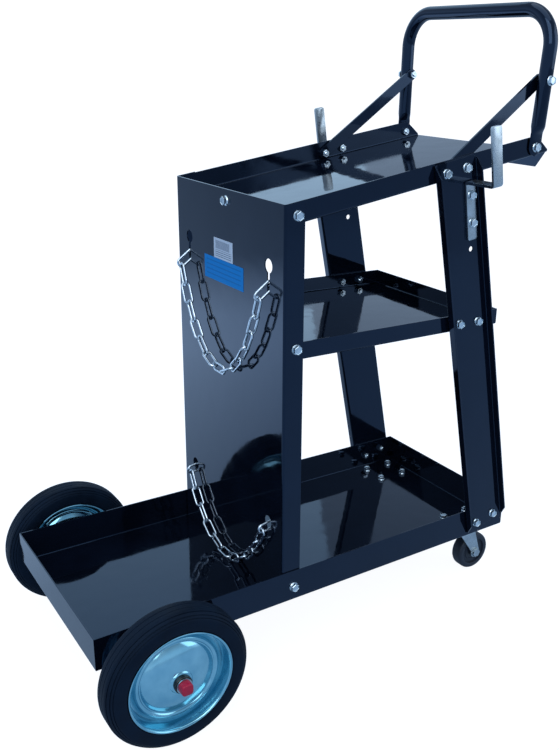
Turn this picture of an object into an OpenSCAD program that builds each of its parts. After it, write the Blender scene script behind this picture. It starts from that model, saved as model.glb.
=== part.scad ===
// Three-tier welding cart with a gas-cylinder platform.
// The cart frame has X = 0 on the outer face of the cylinder panel, +X towards the handle,
// Y = 0 on the centre plane and Z = 0 on the underside of the bottom tray.
// on_floor() then tips it onto its casters and moves it so that the origin is on the floor,
// under the middle of the cart.

/* [Stance] */
// Slope of the trays, lower at the casters
deck_slope = 1.2; // [0:0.1:2]

/* [Sheet metal] */
// Thickness of the tray and panel sheet
sheet_t = 1.5; // [1.2:0.1:2]
// Outside radius of the folded edges
bend_r = 3; // [2.4:0.2:4]
// Clearance between sheets that nest in each other
sheet_fit = 0.2; // [0.1:0.05:0.4]

/* [Cylinder panel] */
// Outside width of the panel
panel_w = 280; // [260:1:320]
// Height of the panel web above the top tray's underside at the panel's face
panel_over = 25; // [22:0.5:32]
// Depth of the panel's side flanges
panel_flange = 27; // [24:1:32]
// Height of the upper keyholes above the bottom tray's underside
upper_key_z = 441; // [420:1:455]
// Height of the lower keyholes above the bottom tray's underside
lower_key_z = 104; // [104:1:124]
// Distance between the keyholes of one chain
key_span = 208; // [200:1:216]
// Diameter of the round part of a keyhole
key_d = 17.5; // [14:0.5:20]
// Width of a keyhole's slot
key_slot_w = 5.6; // [4.4:0.2:6]
// Drop from an upper keyhole's centre to the bottom of its slot
upper_key_drop = 34; // [24:1:38]
// Drop from a lower keyhole's centre to the bottom of its slot
lower_key_drop = 14; // [12:0.5:14]

/* [Bottom tray] */
// Length of the cylinder platform, from the panel's face to the tray's end
platform_len = 249; // [230:1:250]
// Length of the tray from the panel's face to its handle end
deck_len = 399; // [392:1:408]
// Height of the bottom tray's flanges
bottom_flange_h = 44; // [42:1:50]

/* [Middle shelf] */
// Height of the shelf's underside above the bottom tray's underside
shelf_z = 331; // [300:1:350]
// Length of the shelf past its last post bolts
shelf_over = 38.7; // [30:0.1:50]
// Height of the shelf's flanges
shelf_flange_h = 22.5; // [21:0.5:28]

/* [Top tray] */
// Height of the top tray's underside at the panel's face
top_z = 490; // [488:1:492]
// Length of the top tray along its slope
top_len = 425; // [415:1:440]
// Slope of the top tray, rising towards the handle
top_tilt = 10.2; // [9.8:0.1:10.6]
// Height of the top tray's side flanges
top_flange_h = 25.5; // [24:0.5:28]
// Height of the top tray's flange at the panel
top_end_h = 24; // [22:0.5:25]
// Depth of the top tray's down-turned lip
lip_h = 22; // [16:1:24]

/* [Posts] */
// Width of a post's web
post_w = 71; // [66:1:76]
// Depth of a post's flanges
post_flange = 12; // [10:0.5:15]
// Thickness of a post's sheet
post_t = 2; // [1.5:0.1:2.5]
// Lean of the posts towards the panel
post_lean = 11.5; // [11.2:0.1:11.8]
// Distance of a post's foot bolts from the panel's face
post_foot_x = 359; // [355:1:362]
// Height of a post's foot bolts above the bottom tray's underside
post_foot_z = 23.5; // [22:0.5:26]
// Height of a post's top bolts above the top tray's underside
post_bolt_n = 9.7; // [8.5:0.1:11]
// Spacing of the two bolts that hold a post to a tray
post_pitch = 34; // [30:1:38]

/* [Lead hooks] */
// Width of the hook strip
hook_w = 16; // [14:1:18]
// Thickness of the hook strip
hook_t = 4; // [3:0.5:5]
// Reach of the hook's arm from the post
hook_reach = 54; // [40:1:60]
// Height of the hook's upright above its arm
hook_rise = 71; // [60:1:90]
// Spacing of the three holes for the hook
hook_pitch = 36; // [34:1:38]
// Turn of the hook away from the post's lean
hook_turn = 2.8; // [0:0.1:4]

/* [Handle] */
// Diameter of the handle tube
tube_d = 19; // [18:0.5:22]
// Wall of the handle tube
tube_wall = 1.5; // [1.2:0.1:2]
// Distance of the handle's foot bolts from the end of the top tray
handle_setback = 26; // [25:1:40]
// Height of the foot bolts above the top tray's underside
handle_bolt_n = 11.5; // [11:0.5:14]
// Rise of the handle from its foot bolts to the middle of its grip
handle_rise = 172; // [150:1:200]
// Lean of the handle away from the panel
handle_lean = 2.1; // [0:0.1:6]
// Splay of the handle's legs
handle_splay = 2; // [1:0.1:2.4]
// Bend radius at the tube's centreline
handle_bend_r = 46; // [40:1:55]
// Height of the brace bolt above the foot bolt, along the leg
brace_bolt_h = 85; // [78:1:92]
// Width of a brace
brace_w = 16; // [12:1:16]
// Thickness of a brace
brace_t = 3; // [2:0.5:4]

/* [Rear wheels] */
// Diameter of a rear wheel
wheel_d = 178; // [170:1:184]
// Width of a rear tyre
tyre_w = 40; // [40:1:46]
// Diameter of the rim at its lip
rim_d = 130; // [124:1:134]
// Diameter of the axle
axle_d = 12; // [10:0.5:12]
// Distance of the axle behind the panel's face
axle_back = 170; // [150:1:180]
// Distance of the axle below the bottom tray's underside
axle_drop = 10; // [9:0.5:12]
// Gap between the bottom tray and a rear tyre
wheel_gap = 20; // [12:0.5:24]

/* [Casters] */
// Distance of the casters from the panel's face
caster_x = 357; // [352:1:362]
// Distance of the casters from the sides of the panel
caster_in = 39; // [34:1:44]
// Bolt spacing of a caster plate along the cart
caster_pitch_x = 46; // [42:1:48]
// Bolt spacing of a caster plate across the cart
caster_pitch_y = 41; // [38:1:43]
// Diameter of a caster wheel
caster_d = 60; // [56:1:66]
// Width of a caster wheel
caster_w = 20; // [18:1:24]
// Trail of a caster wheel behind its swivel pin
caster_trail = 20; // [16:1:24]

/* [Chains] */
// Wire of a chain link
wire_d = 3.2; // [3:0.1:3.4]
// Inside length of a link
link_in = 26; // [25:0.5:27]
// Outside width of a link
link_w = 14; // [13.6:0.2:15]
// Number of hanging links in the upper chain
upper_links = 13; // [11:2:15]
// Number of hanging links in the lower chain
lower_links = 11; // [9:2:11]

/* [Labels] */
// Width of the blue label
label_w = 104; // [80:1:110]
// Height of the blue label
label_h = 30; // [24:1:32]
// Drop from the upper keyholes to the label's lower edge
label_drop = 45; // [40:1:60]
// Width of the white sticker
sticker_w = 50; // [40:1:60]
// Height of the white sticker
sticker_h = 26; // [20:1:30]
// Distance of both from the centre plane
label_y = 8; // [0:1:16]

/* [Fasteners] */
// Diameter of the frame bolts
bolt_d = 6; // [5:0.5:6]
// Width across the flats of a hexagon head or nut
hex_af = 10; // [9:0.5:11]
// Diameter of a bolt's flange or washer
washer_d = 13; // [12:0.5:14]

/* [Hidden] */
$fn = 48;

enamel = "#15171c";
zinc = "#b9c4cf";
rubber = "#1c1d20";
plastic = "#101114";
red = "#c4123a";
paper = "#e9ecef";
blue = "#0a63c9";

big = 1000;                 // reach of a cutting block
contact = 0.1;              // gap between faces that touch
running = 0.08;             // radial clearance of a turning fit
hole_fit = 0.4;             // radial clearance of a bolt hole
near = -1;
far = 1;

// frame
wheel_r = wheel_d / 2;
caster_r = caster_d / 2;
bottom_w = panel_w + 2 * (sheet_fit + sheet_t);
inner_w = panel_w - 2 * (sheet_fit + sheet_t);
// where a point of the cart frame is once the trays slope, before the cart is moved
function level_x(x, z) = x * cos(deck_slope) + z * sin(deck_slope);
function level_z(x, z) = z * cos(deck_slope) - x * sin(deck_slope);
ground = wheel_r - level_z(-axle_back, -axle_drop);

// fasteners
bolt_r = bolt_d / 2;
hole_r = bolt_r + hole_fit;
head_h = 4;
washer_h = 1.2;
nut_h = 5;
thread_out = 2.5;           // bolt end past its nut

// panel bolts: distance from the panel's face, and heights
flange_bolt_x = 17.5;
panel_bottom_bolt_z = 20;
panel_shelf_bolt_z = shelf_z + 14.5;
panel_top_bolt_z = top_z + 13.5;
panel_web_bolt_z = top_z + 12.5;
panel_h = top_z + panel_over;

// posts
post_span = (post_bolt_n + post_foot_x * sin(top_tilt) + (top_z - post_foot_z) * cos(top_tilt))
  / cos(post_lean - top_tilt);
post_skew = atan((bottom_w - inner_w) / 2 / (post_span * cos(post_lean)));
post_below = 11;            // post below its foot bolts
post_above = 14;            // post above its top bolts
post_chamfer = 16;
post_round = 9;
hook_hole_r = 3.6;
hook_first = 35;            // top bolts to the first hook hole
hook_x = post_w / 2 - hook_w / 2 - bend_r - 7;
hook_above = 19;            // hook's first hole to the top of its arm
hook_below = 23;            // hook's second hole to the end of its strip
hook_bend = 1.5;            // inside radius of its bends
hook_corner = 3;            // round corners of its ends
shelf_bolt_z = shelf_z + 10.5;

// a point of the cart frame in a post's own frame, as [across, along]
function post_point(x, z) =
  let (dx = x - post_foot_x, dz = z - post_foot_z)
  [dx * cos(post_lean) + dz * sin(post_lean), dz * cos(post_lean) - dx * sin(post_lean)];
// a point of a post's own frame in the cart frame, as [x, z]
function cart_point(across, along) =
  [post_foot_x + across * cos(post_lean) - along * sin(post_lean),
   post_foot_z + across * sin(post_lean) + along * cos(post_lean)];
// a point of the top tray's own frame in the cart frame, as [x, z]
function tray_point(s, n) =
  [s * cos(top_tilt) - n * sin(top_tilt), top_z + s * sin(top_tilt) + n * cos(top_tilt)];

lip_end = tray_point(top_len, -lip_h);
x_min = level_x(-axle_back, -axle_drop) - wheel_r;
x_max = level_x(lip_end[0], lip_end[1]);
x_mid = (x_min + x_max) / 2;

shelf_bolt_mid = post_foot_x - (shelf_bolt_z - post_foot_z) * tan(post_lean);
shelf_len = shelf_bolt_mid + post_pitch / 2 + shelf_over;
foot_bolts = [for (s = [-1, 1]) cart_point(s * post_pitch / 2, 0)];
top_bolts = [for (s = [-1, 1]) cart_point(s * post_pitch / 2, post_span)];
shelf_bolts = [for (s = [-1, 1]) [shelf_bolt_mid + s * post_pitch / 2, shelf_bolt_z]];

// how far a post stands out at a height of the cart frame
function post_face(z) =
  inner_w / 2 + contact + (post_foot_z + post_span * cos(post_lean) - z) * tan(post_skew);

// handle
handle_foot = tray_point(top_len - handle_setback, handle_bolt_n);
flat_t = 4;
flat_w = 23;
flat_up = 16;               // flattened end above its bolt
flat_blend = 12;            // from the flattened end to the full tube
foot_y = inner_w / 2 + contact + flat_t / 2;
// how far out a leg is at a height above its foot bolt
function leg_y(h) = foot_y + h * tan(handle_splay);
bend_lap = 2;               // straight runs of the tube reach this far into its bends
bend_lap_r = 0.1;           // and are this much thinner
leg_len = (handle_rise - handle_bend_r * (1 + sin(handle_splay))) / cos(handle_splay);
bar_y = foot_y + leg_len * sin(handle_splay) - handle_bend_r * cos(handle_splay);
brace_bolt = [handle_foot[0] + brace_bolt_h * sin(handle_lean),
              handle_foot[1] + brace_bolt_h * cos(handle_lean)];
brace_fit = 0.35;           // clearance of a brace and a bolt's head against surfaces at a slant
brace_y = inner_w / 2 - sheet_t - brace_fit;
brace_dx = brace_bolt[0] - top_bolts[0][0];
brace_dz = brace_bolt[1] - top_bolts[0][1];
brace_len = norm([brace_dx, brace_dz]);
brace_turn = asin((brace_y - leg_y(brace_bolt_h) + tube_d / 2 + brace_fit) / brace_len);

// rear wheels
axle_r = axle_d / 2;
wheel_y = bottom_w / 2 + wheel_gap + tyre_w / 2;
rim_r = rim_d / 2;
rim_t = 1.5;
ring_in = 17;               // raised ring of a disc, in from its lip
ring_out = 13;
ring_h = 8;
dish_in = 19;               // edge of its dished centre
dish_h = 5.5;
half_w = tyre_w / 2;
hub_r = axle_r + 3;
hub_in = half_w + 2;        // hub's inner end from the wheel's middle
hub_out = half_w + 4;
hub_flange_r = hub_r + 2;
washer_t = 1.5;
cap_l = 9;
cap_w = 14;
bracket_in = 24;            // from the tray's side to the middle of a bracket
bracket_y = bottom_w / 2 - bracket_in;
bracket_w = 34;
bracket_l = 44;
bracket_t = axle_drop - axle_r - sheet_fit;
bracket_drop = axle_drop + 12;
ear_t = 2;

// casters
caster_y = panel_w / 2 - caster_in;
plate_l = caster_pitch_x + 15;
plate_w = caster_pitch_y + 14;
plate_t = 2.5;
pin_r = 4;
pin_head_r = 7;
pin_head_h = 3;
ball_r = 2.4;
ball_ring_r = 11;
crown_t = 2.5;
crown_r = 19;
race_r = 16;
race_t = 2;
crown_z = -plate_t - 2 * ball_r - 2 * contact;
leg_t = 2.2;
leg_in = caster_w / 2 + 1.2;
caster_axle_r = 4;
caster_z = (caster_r - ground + (caster_x + caster_trail) * sin(deck_slope)) / cos(deck_slope);

// chains
wire_r = wire_d / 2;
bow_r = link_w / 2 - wire_r;              // centreline radius of a link's round ends
bow_x = link_in / 2 + wire_r - bow_r;     // from a link's middle to the middle of an end
tip_x = link_in / 2 + wire_r;             // from a link's middle to the wire of an end
link_gap = 0.3;                           // gap between the wires of two links
max_turn = 40;                            // sharpest turn between two links
// the link in a keyhole: its slope, and its middle from the panel's face and above the slot's bottom
upper_end = [37, -5.3, 5];
lower_end = [12, 1.1, 7.7];

module on_floor() translate([-x_mid, 0, ground]) rotate([0, deck_slope, 0]) children();

// mirrors a far-side piece to the near side
module on_side(side) mirror([0, side == near ? 1 : 0, 0]) children();

// rectangle standing on y = 0, with its two lower corners round
module fold2d(w, h, r) {
  translate([-w / 2, r]) square([w, h - r]);
  translate([-w / 2 + r, 0]) square([w - 2 * r, h]);
  for (s = [-1, 1]) translate([s * (w / 2 - r), r]) circle(r);
}

// U-shaped profile of folded sheet, open at the top
module channel2d(w, h, t, r) difference() {
  fold2d(w, h, r);
  translate([0, t]) fold2d(w - 2 * t, h, r - t);
}

// prism with its lower edges round, from x0 to x1
module folded_block(x0, x1, w, h, r) intersection() {
  translate([x0, 0, 0]) rotate([90, 0, 90]) linear_extrude(x1 - x0) fold2d(w, h, r);
  translate([(x0 + x1) / 2, w / 2, 0]) rotate([90, 0, 0]) linear_extrude(w) fold2d(x1 - x0, h, r);
}

// tray with four upturned flanges
module folded_tray(x0, x1, w, h) difference() {
  folded_block(x0, x1, w, h, bend_r);
  translate([0, 0, sheet_t])
    folded_block(x0 + sheet_t, x1 - sheet_t, w - 2 * sheet_t, h, bend_r - sheet_t);
}

// cylinder along Y, from y0 to y1
module rod_y(x, z, r, y0, y1) translate([x, y1, z]) rotate([90, 0, 0]) cylinder(r = r, h = y1 - y0);

// pair of through holes across the cart
module cross_holes(points, r = hole_r)
  for (p = points) rod_y(p[0], p[1], r, -bottom_w, bottom_w);

// bolt along Z: its seat at z = 0, its head above, and its end below a grip and a nut
module bolt(grip) {
  cylinder(d = washer_d, h = washer_h);
  cylinder(r = hex_af / sqrt(3), h = washer_h + head_h, $fn = 6);
  translate([0, 0, -grip - nut_h - thread_out])
    cylinder(r = bolt_r, h = grip + nut_h + thread_out + washer_h);
}

// nut on the far side of a grip
module nut(grip) translate([0, 0, -grip - nut_h]) difference() {
  cylinder(r = hex_af / sqrt(3), h = nut_h, $fn = 6);
  translate([0, 0, -1]) cylinder(r = bolt_r + running, h = nut_h + 2);
}

// turns a fastener so that its head points to +Y, with its seat at y
module seat_y(x, y, z) translate([x, y, z]) rotate([-90, 0, 0]) children();

module bottom_tray() on_floor() color(enamel) difference() {
  folded_tray(-platform_len, deck_len, bottom_w, bottom_flange_h);
  cross_holes([[flange_bolt_x, panel_bottom_bolt_z]]);
  cross_holes(foot_bolts);
  for (side = [near, far]) caster_holes(side) cylinder(r = hole_r, h = big, center = true);
}

// round hole with a slot that ends at a drop below its centre
module keyhole2d(drop) {
  circle(d = key_d);
  translate([0, key_slot_w / 2 - drop]) circle(d = key_slot_w);
  translate([-key_slot_w / 2, key_slot_w / 2 - drop]) square([key_slot_w, drop - key_slot_w / 2]);
}

module cylinder_panel() on_floor() color(enamel) difference() {
  translate([0, 0, sheet_t + contact]) rotate([0, 0, -90])
    linear_extrude(panel_h + panel_flange) channel2d(panel_w, panel_flange, sheet_t, bend_r);
  translate([-big, panel_w, panel_h + sheet_t]) rotate([90, 0, 0]) linear_extrude(2 * panel_w)
    polygon([[big - panel_flange, -panel_flange * tan(top_tilt)],
             [big + 2 * panel_flange, 2 * panel_flange * tan(top_tilt)],
             [big + 2 * panel_flange, 2 * panel_flange], [big - panel_flange, 2 * panel_flange]]);
  cross_holes([[flange_bolt_x, panel_bottom_bolt_z], [flange_bolt_x, panel_shelf_bolt_z],
               [flange_bolt_x, panel_top_bolt_z]]);
  translate([0, 0, panel_web_bolt_z]) rotate([0, 90, 0]) cylinder(r = hole_r, h = big, center = true);
  for (side = [near, far]) translate([-sheet_t, side * key_span / 2, 0]) rotate([90, 0, 90])
    linear_extrude(3 * sheet_t) {
      translate([0, upper_key_z]) keyhole2d(upper_key_drop);
      translate([0, lower_key_z]) keyhole2d(lower_key_drop);
    }
}

module middle_shelf() on_floor() color(enamel) difference() {
  translate([0, 0, shelf_z])
    folded_tray(sheet_t + contact, shelf_len, inner_w, shelf_flange_h);
  cross_holes([[flange_bolt_x, panel_shelf_bolt_z]]);
  cross_holes(shelf_bolts);
}

// the top tray's own frame: s along the slope, n square to its floor
module on_slope() translate([0, 0, top_z]) rotate([0, -top_tilt, 0]) children();

module top_tray() on_floor() color(enamel) difference() {
  union() {
    on_slope() {
      difference() {
        translate([-top_flange_h, 0, 0]) rotate([90, 0, 90])
          linear_extrude(top_len + top_flange_h) channel2d(inner_w, top_flange_h, sheet_t, bend_r);
        translate([top_len, inner_w, 0]) rotate([90, 0, 0]) linear_extrude(2 * inner_w)
          polygon([[-top_flange_h + 6, top_flange_h], [0, 4], [big, 4], [big, big],
                   [-top_flange_h + 6, big]]);
      }
      translate([top_len - sheet_t, 0, 0]) rotate([90, 0, 90]) linear_extrude(sheet_t)
        polygon([[-inner_w / 2 + bend_r, 0], [-inner_w / 2 + lip_h, -lip_h],
                 [inner_w / 2 - lip_h, -lip_h], [inner_w / 2 - bend_r, 0],
                 [inner_w / 2 - bend_r, sheet_t], [-inner_w / 2 + bend_r, sheet_t]]);
    }
    translate([sheet_t + contact, -inner_w / 2 + sheet_t, top_z + sheet_t])
      cube([sheet_t, inner_w - 2 * sheet_t, top_end_h - sheet_t]);
  }
  translate([sheet_t + contact - big, -big / 2, 0]) cube(big);
  cross_holes([[flange_bolt_x, panel_top_bolt_z]]);
  cross_holes(top_bolts);
  cross_holes([handle_foot]);
  translate([0, 0, panel_web_bolt_z]) rotate([0, 90, 0]) cylinder(r = hole_r, h = 4 * panel_flange,
    center = true);
}

// a post's own frame: x across the web, y outwards, z along it, from its foot bolts
module in_post(side) on_side(side)
  translate([post_foot_x, bottom_w / 2 + contact, post_foot_z])
    rotate([post_skew, 0, 0]) rotate([0, -post_lean, 0]) children();

module post(side) on_floor() color(enamel) in_post(side) difference() {
  translate([0, 0, -post_below]) linear_extrude(post_below + post_span + post_above)
    channel2d(post_w, post_flange, post_t, bend_r);
  for (end = [0, 1]) translate([0, 0, end * post_span])
    for (s = [-1, 1]) rod_y(s * post_pitch / 2, 0, hole_r, -1, post_flange);
  for (p = shelf_bolts)
    rod_y(post_point(p[0], p[1])[0], post_point(p[0], p[1])[1], hole_r, -1, post_flange);
  in_hook() for (k = [0:2]) rod_y(0, -k * hook_pitch, hook_hole_r, -1, post_flange);
  // flange ends cut at a slant
  for (end = [0, 1]) translate([-post_w, 0, end * (post_span + post_above) - (1 - end) * post_below])
    mirror([0, 0, end]) rotate([90, 0, 90]) linear_extrude(2 * post_w)
      polygon([[post_t + 0.5, -1], [post_flange + 1, -1], [post_flange + 1, post_chamfer],
               [post_flange, post_chamfer], [post_t + 0.5, 1]]);
  // round upper corner on the handle side
  translate([post_w / 2 - post_round, -1, post_span + post_above - post_round]) difference() {
    cube([post_round + 1, post_flange + 2, post_round + 1]);
    rod_y(0, 0, post_round, 0, post_flange + 2);
  }
}

module near_post() post(near);
module far_post() post(far);

// the hook's own frame, in its post's: x across its strip, z along it, from its first hole
module in_hook() translate([hook_x, 0, post_span - hook_first]) rotate([0, hook_turn, 0]) children();

// quarter ring of the hook strip, in the plane of its bend
module hook_bend2d() intersection() {
  difference() {
    circle(hook_bend + hook_t);
    circle(hook_bend);
  }
  square(hook_bend + hook_t);
}

// end of a strip across x, with round corners, from z = 0 up
module strip_end(y) translate([0, y + hook_t, 0]) rotate([90, 0, 0]) linear_extrude(hook_t) {
  for (s = [-1, 1]) translate([s * (hook_w / 2 - hook_corner), -hook_corner]) circle(hook_corner);
  translate([-hook_w / 2 + hook_corner, -hook_corner]) square([hook_w - 2 * hook_corner, hook_corner]);
}

// strip bolted to the post, bent outwards at its top and then up
module hook(side) on_floor() color(zinc) in_post(side) in_hook()
  translate([0, post_t + contact, 0]) difference() {
    turn = hook_bend + hook_t;
    union() {
      translate([-hook_w / 2, 0, 0]) rotate([90, 0, 90]) linear_extrude(hook_w) {
        translate([0, hook_corner - hook_pitch - hook_below])
          square([hook_t, hook_above - turn + hook_pitch + hook_below - hook_corner]);
        translate([turn, hook_above - turn]) mirror([1, 0]) hook_bend2d();
        translate([turn, hook_above - hook_t]) square([hook_reach - 2 * turn, hook_t]);
        translate([hook_reach - turn, hook_above - hook_t + turn]) mirror([0, 1]) hook_bend2d();
        translate([hook_reach - hook_t, hook_above - hook_t + turn])
          square([hook_t, hook_rise + hook_t - turn - hook_corner]);
      }
      translate([0, 0, -hook_pitch - hook_below]) mirror([0, 0, 1]) strip_end(0);
      translate([0, 0, hook_above + hook_rise]) strip_end(hook_reach - hook_t);
    }
    for (k = [0, 1]) rod_y(0, -k * hook_pitch, hole_r, -1, hook_t + 1);
  }

module near_hook() hook(near);
module far_hook() hook(far);

// the handle's own frame: y across the cart, z up its legs from the foot bolts
module in_handle() translate([handle_foot[0], 0, handle_foot[1]]) rotate([0, handle_lean, 0])
  children();

// U-shaped bar of a given radius, whose legs start at a distance above the foot bolts; its
// straight runs are a hair thinner than its bends and sink into them
module handle_bar(r, from) {
  for (side = [near, far]) on_side(side) translate([0, foot_y, 0]) rotate([-handle_splay, 0, 0]) {
    translate([0, 0, from]) cylinder(r = r - bend_lap_r, h = leg_len + bend_lap - from);
    translate([0, -handle_bend_r, leg_len]) rotate([90, 0, 90])
      rotate_extrude(angle = 90 + handle_splay) translate([handle_bend_r, 0]) circle(r);
  }
  rod_y(0, handle_rise, r - bend_lap_r, -bar_y - bend_lap, bar_y + bend_lap);
}

module handle() on_floor() color(enamel) in_handle() difference() {
  union() {
    difference() {
      handle_bar(tube_d / 2, flat_up + flat_blend);
      handle_bar(tube_d / 2 - tube_wall, flat_up + flat_blend + 2);
    }
    for (side = [near, far]) on_side(side) translate([0, foot_y, 0]) {
      rod_y(0, 0, flat_w / 2, -flat_t / 2, flat_t / 2);
      translate([-flat_w / 2, -flat_t / 2, 0]) cube([flat_w, flat_t, flat_up]);
      hull() {
        translate([-flat_w / 2, -flat_t / 2, flat_up]) cube([flat_w, flat_t, 0.1]);
        rotate([-handle_splay, 0, 0]) translate([0, 0, flat_up + flat_blend])
          cylinder(d = tube_d - 0.2, h = 0.5, $fn = 32);
      }
    }
  }
  rod_y(0, 0, hole_r, -bottom_w, bottom_w);
  rod_y(0, brace_bolt_h, hole_r, -bottom_w, bottom_w);
}

// flat bar between two bolts, from the inside of the tray's flange to the inside of the leg
module brace(side) on_floor() color(enamel) on_side(side) difference() {
  translate([top_bolts[0][0], brace_y, top_bolts[0][1]]) rotate([90, -atan2(brace_dz, brace_dx), 0])
    rotate([0, -brace_turn, 0]) linear_extrude(brace_t) {
      translate([0, -brace_w / 2]) square([brace_len, brace_w]);
      circle(d = brace_w);
      translate([brace_len, 0]) circle(d = brace_w);
    }
  cross_holes([top_bolts[0], brace_bolt]);
}

module near_brace() brace(near);
module far_brace() brace(far);

module in_axle() translate([-axle_back, 0, -axle_drop]) children();

module rear_axle() on_floor() color(zinc) in_axle()
  rod_y(0, 0, axle_r, -wheel_y - hub_out - washer_t - cap_l + 2, wheel_y + hub_out + washer_t + cap_l - 2);

// channel welded under the tray, with the axle through its ears
module axle_bracket(side) on_floor() color(enamel) on_side(side) difference() {
  translate([-axle_back, bracket_y, 0]) {
    translate([-bracket_l / 2, -bracket_w / 2, -bracket_t - contact])
      cube([bracket_l, bracket_w, bracket_t]);
    for (s = [-1, 1]) translate([0, s * (bracket_w - ear_t) / 2 + ear_t / 2, -contact])
      rotate([90, 0, 0]) linear_extrude(ear_t)
        polygon([[-bracket_l / 2, 0], [bracket_l / 2, 0], [bracket_l / 2, -6], [8, -bracket_drop],
                 [-8, -bracket_drop], [-bracket_l / 2, -6]]);
  }
  in_axle() rod_y(0, 0, axle_r + contact, 0, bottom_w);
}

module near_axle_bracket() axle_bracket(near);
module far_axle_bracket() axle_bracket(far);

module axle_spacers() on_floor() color(zinc) for (side = [near, far]) on_side(side) in_axle()
  difference() {
    rod_y(0, 0, axle_r + 1.6, bracket_y + bracket_w / 2 + contact, wheel_y - hub_in - 0.3);
    rod_y(0, 0, axle_r + contact, 0, wheel_y);
  }

// a wheel's own frame: z outwards along the axle, from the wheel's middle
module in_wheel(side) translate([-axle_back, side * wheel_y, -axle_drop]) rotate([-90 * side, 0, 0])
  children();

module axle_washers() on_floor() color(zinc) for (side = [near, far]) in_wheel(side)
  translate([0, 0, hub_out + 0.3]) difference() {
    cylinder(r = hub_r + 0.5, h = washer_t);
    translate([0, 0, -1]) cylinder(r = axle_r + running, h = washer_t + 2);
  }

module axle_cap(side) on_floor() color(red) in_wheel(side)
  translate([0, 0, hub_out + 0.3 + washer_t + contact]) difference() {
    intersection() {
      translate([-cap_w / 2, -cap_w / 2, 0]) cube([cap_w, cap_w, cap_l]);
      cylinder(r = cap_w / 2 * 1.18, h = cap_l);
    }
    translate([0, 0, -1]) cylinder(r = axle_r + running, h = cap_l - 0.5);
  }

module near_axle_cap() axle_cap(near);
module far_axle_cap() axle_cap(far);

// solid rubber ring with ribbed shoulders
module tyre(side) on_floor() color(rubber) in_wheel(side) rotate_extrude($fn = 96) difference() {
  polygon([[rim_r - 1.5, -half_w + 1.8], [rim_r + 0.4, -half_w + 1.8], [rim_r + 2, -half_w],
           [wheel_r - 9, -half_w], [wheel_r - 2, -half_w + 6], [wheel_r, -half_w + 10],
           [wheel_r, half_w - 10], [wheel_r - 2, half_w - 6], [wheel_r - 9, half_w],
           [rim_r + 2, half_w], [rim_r + 0.4, half_w - 1.8], [rim_r - 1.5, half_w - 1.8]]);
  for (s = [-1, 1], k = [0:2])
    translate([wheel_r - 7 + 2.8 * k, s * (half_w - 1.2 - 3.4 * k)]) rotate([0, 0, s * 50])
      square([1.6, 1.2], center = true);
}

module near_tyre() tyre(near);
module far_tyre() tyre(far);

// pressed disc: lip, deep channel where the two halves meet, ring and dished centre
module rim_half(side, face) on_floor() color(zinc) in_wheel(side) mirror([0, 0, face == near ? 1 : 0])
  rotate_extrude($fn = 96) {
    front = [[hub_r + contact, half_w - 1], [hub_r + 3, half_w - 1], [hub_r + 5, half_w - 3],
             [rim_r * 0.4, half_w - 5.5], [rim_r * 0.62, half_w - 9.5], [rim_r - dish_in, dish_h],
             [rim_r - ring_in, ring_h], [rim_r - ring_out, ring_h],
             [rim_r - 10.5, rim_t + contact / 2],
             [rim_r - 5.5, rim_t + contact / 2], [rim_r - 3.4, half_w - 3], [rim_r - 2.4, half_w + 0.4],
             [rim_r, half_w + 0.4]];
    back = [[rim_r, half_w - 1.1], [rim_r - 1.7, half_w - 1.1], [rim_r - 1.9, half_w - 3],
            [rim_r - 4, contact / 2], [rim_r - 12, contact / 2],
            [rim_r - ring_out - 1, ring_h - rim_t], [rim_r - ring_in + 1, ring_h - rim_t],
            [rim_r - dish_in + 1, dish_h - rim_t], [rim_r * 0.62, half_w - 9.5 - rim_t],
            [rim_r * 0.4, half_w - 5.5 - rim_t], [hub_r + 5, half_w - 3 - rim_t],
            [hub_r + rim_t, half_w - 3 - rim_t], [hub_r + rim_t, 3], [hub_r + contact, 3]];
    polygon(concat(front, back));
  }

module near_rim_outer() rim_half(near, far);
module near_rim_inner() rim_half(near, near);
module far_rim_outer() rim_half(far, far);
module far_rim_inner() rim_half(far, near);

// plastic bush that turns on the axle
module hub(side) on_floor() color(plastic) in_wheel(side) difference() {
  union() {
    translate([0, 0, -hub_in]) cylinder(r = hub_r, h = hub_in + hub_out);
    translate([0, 0, half_w - 1 + contact]) cylinder(r = hub_flange_r, h = hub_out - half_w + 1 - contact);
  }
  translate([0, 0, -half_w - 5]) cylinder(r = axle_r + running, h = tyre_w + 10);
}

module near_hub() hub(near);
module far_hub() hub(far);

module in_caster(side) translate([caster_x, side * caster_y, 0]) children();

// the four bolts of a caster plate
module caster_holes(side) in_caster(side)
  for (sx = [-1, 1], sy = [-1, 1]) translate([sx * caster_pitch_x / 2, sy * caster_pitch_y / 2, 0])
    children();

module caster_plate(side) on_floor() color(zinc) difference() {
  in_caster(side) translate([-plate_l / 2, -plate_w / 2, -plate_t - contact])
    cube([plate_l, plate_w, plate_t]);
  in_caster(side) cylinder(r = pin_r + running, h = big, center = true);
  caster_holes(side) cylinder(r = hole_r, h = big, center = true);
}

module caster_pin(side) on_floor() color(zinc) in_caster(side) {
  translate([0, 0, crown_z - crown_t - contact - pin_head_h])
    cylinder(r = pin_r, h = pin_head_h + crown_t - crown_z);
  translate([0, 0, crown_z - crown_t - contact - pin_head_h]) cylinder(r = pin_head_r, h = pin_head_h);
}

// balls that carry the fork under the plate
module caster_balls(side) on_floor() color(zinc) in_caster(side)
  for (k = [0:11]) rotate([0, 0, 30 * k])
    translate([ball_ring_r, 0, -plate_t - contact - contact / 2 - ball_r]) sphere(ball_r, $fn = 24);

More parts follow.
